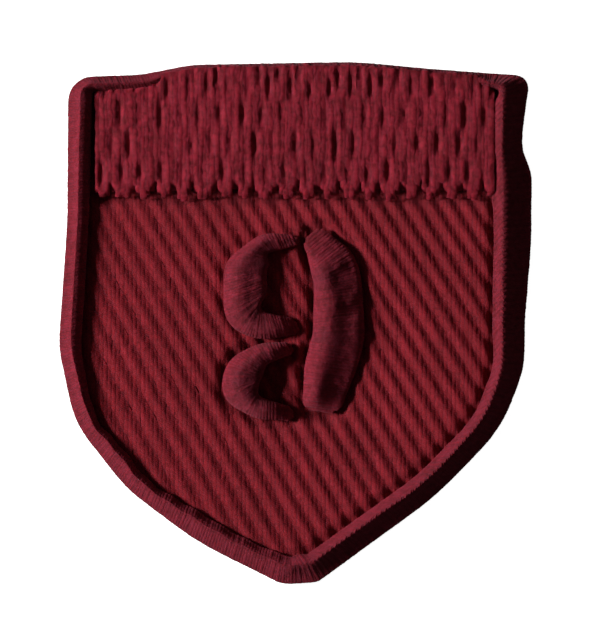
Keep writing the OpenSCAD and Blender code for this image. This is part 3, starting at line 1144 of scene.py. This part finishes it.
def make_column(node, name, rows, shape, slant, blunt, taper, level=0.1):
    """A column of satin stitches: arches across its line, over a padded core. slant turns the
    stitches, blunt is the share of its half width by which the column runs on past its ends,
    taper is the length over which it runs down to each of them, and over the length level its
    start turns from a flat top into its own shape."""
    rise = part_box(node)[1].z / MM - face_z
    line, widths = bent(rows)
    total = length_along(line)[-1]
    over = blunt * widths[[0, -1]]
    places = satin_places(line, widths, over)
    on_line = np.clip(places, 0, total)
    ways = ways_along(line, on_line)
    middles = walked(line, on_line) + ways * (places - on_line)[:, None]
    past = np.maximum(-places / over[0], (places - total) / over[1])
    ending = np.sqrt(np.clip(1 - held(past) ** 2, 0.01, 1))
    half = walked(line, on_line, widths)[:, 0] * (0.55 + 0.45 * ending)
    run = np.minimum((places + over[0]) / taper[0], (total + over[1] - places) / taper[1])
    tops = rise * (END_SHARE + (1 - END_SHARE) * np.sin(np.pi / 2 * held(run)))
    jitter = chance.normal(size=(len(places), 4))
    cross = to_right(ways) + slant * ways
    profile = satin_profile(shape, held((places + over[0]) / level - 0.5)[:, None])

    def arches(inset):
        """The arches of the stitches, set in by an inset."""
        reach = (half - inset)[:, None] * SATIN_PLACES
        plan = middles[:, None] + cross[:, None] * reach[..., None]
        heights = (tops[:, None] + lumps_at(plan)) * profile - inset * held(profile * 3)
        return np.concatenate([plan, (face_z + heights)[..., None]], -1)

    threads = Threads()
    stitches = arches(SATIN_RADIUS * SATIN_FLAT)
    across = unit(np.gradient(stitches, axis=0))
    stitches += across * SATIN_SHIFT * jitter[:, :1, None]
    stitches[..., 2] += SATIN_LIFT * jitter[:, 1:2]
    radius = SATIN_RADIUS * (1 + SATIN_UNEVEN * jitter[:, 2:3])
    rounds = round_rings(stitches, across, radius, SATIN_SIDES, SATIN_FLAT, lumps=0.05, twist=8.0)
    # The column's level start is painted darker: painted shade
    level_shade = LEVEL_SHADE * held(1 - (places + over[0]) / level)
    threads.add(rounds, (jitter[:, 3] * SATIN_TONE - level_shade)[:, None])
    padding = arches(PADDING_INSET * SATIN_RADIUS * SATIN_FLAT)
    # The padding is painted darker: painted shade in the gaps between stitches
    threads.add(padding[None, :, ::-1], PADDING_SHADE)
    made = threads.made(name, numeral_thread)
    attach(made, "root")
    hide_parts(node)


def make_numeral():
    """The numeral's three columns."""
    make_column("nine_bowl", "bowl_satin", BOWL, BOWL_SHAPE, 0.35, 0.8, (5.5, 2.6))
    make_column("nine_stem", "stem_satin", STEM, STEM_SHAPE, 0.1, 0.7, (4.8, 2.0), level=2.2)
    make_column("nine_hook", "hook_satin", HOOK, HOOK_SHAPE, 0.2, 0.8, (2.4, 3.0))


# The studio: floor, light and camera


def aimed(name, data, place, target):
    """A lamp or camera at a place, turned to a target."""
    made = placed(name, data)
    made.location = Vector(place) * MM
    made.rotation_euler = (Vector(target) - Vector(place)).to_track_quat("-Z", "Y").to_euler()
    return made


def make_studio():
    """The floor, the key light, the fill and the camera."""
    mesh = bpy.data.meshes.new("floor")
    corners = [(-1, -1, 0), (1, -1, 0), (1, 1, 0), (-1, 1, 0)]
    mesh.from_pydata(corners, [], [(0, 1, 2, 3)])
    mesh.materials.append(floor_finish())
    floor = placed("floor", mesh)
    floor.visible_diffuse = False
    floor.visible_glossy = False
    turn, rise = math.radians(LIGHT_TURN), math.radians(LIGHT_RISE)
    way = Vector((math.cos(turn) * math.cos(rise), math.sin(turn) * math.cos(rise), math.sin(rise)))
    lamp = bpy.data.lights.new("key_light", "AREA")
    lamp.size = LIGHT_SIZE * MM
    lamp.energy = LIGHT_POWER
    aimed("key_light", lamp, way * LIGHT_AWAY, (0, 0, 0))
    world = bpy.data.worlds.new("soft_fill")
    world.use_nodes = True
    sky = world.node_tree.nodes["Background"]
    sky.inputs["Color"].default_value = (1, 1, 1, 1)
    sky.inputs["Strength"].default_value = FILL
    bpy.context.scene.world = world
    lens = bpy.data.cameras.new("camera")
    lens.lens = LENS
    lens.sensor_width = SENSOR
    above = VIEW_HEIGHT * LENS / SENSOR + face_z
    bpy.context.scene.camera = aimed("camera", lens, (*VIEW_MIDDLE, above), (*VIEW_MIDDLE, 0))
    bpy.context.scene.view_settings.view_transform = "Standard"


make_studio()
make_ground()
make_border()
make_band()
make_numeral()
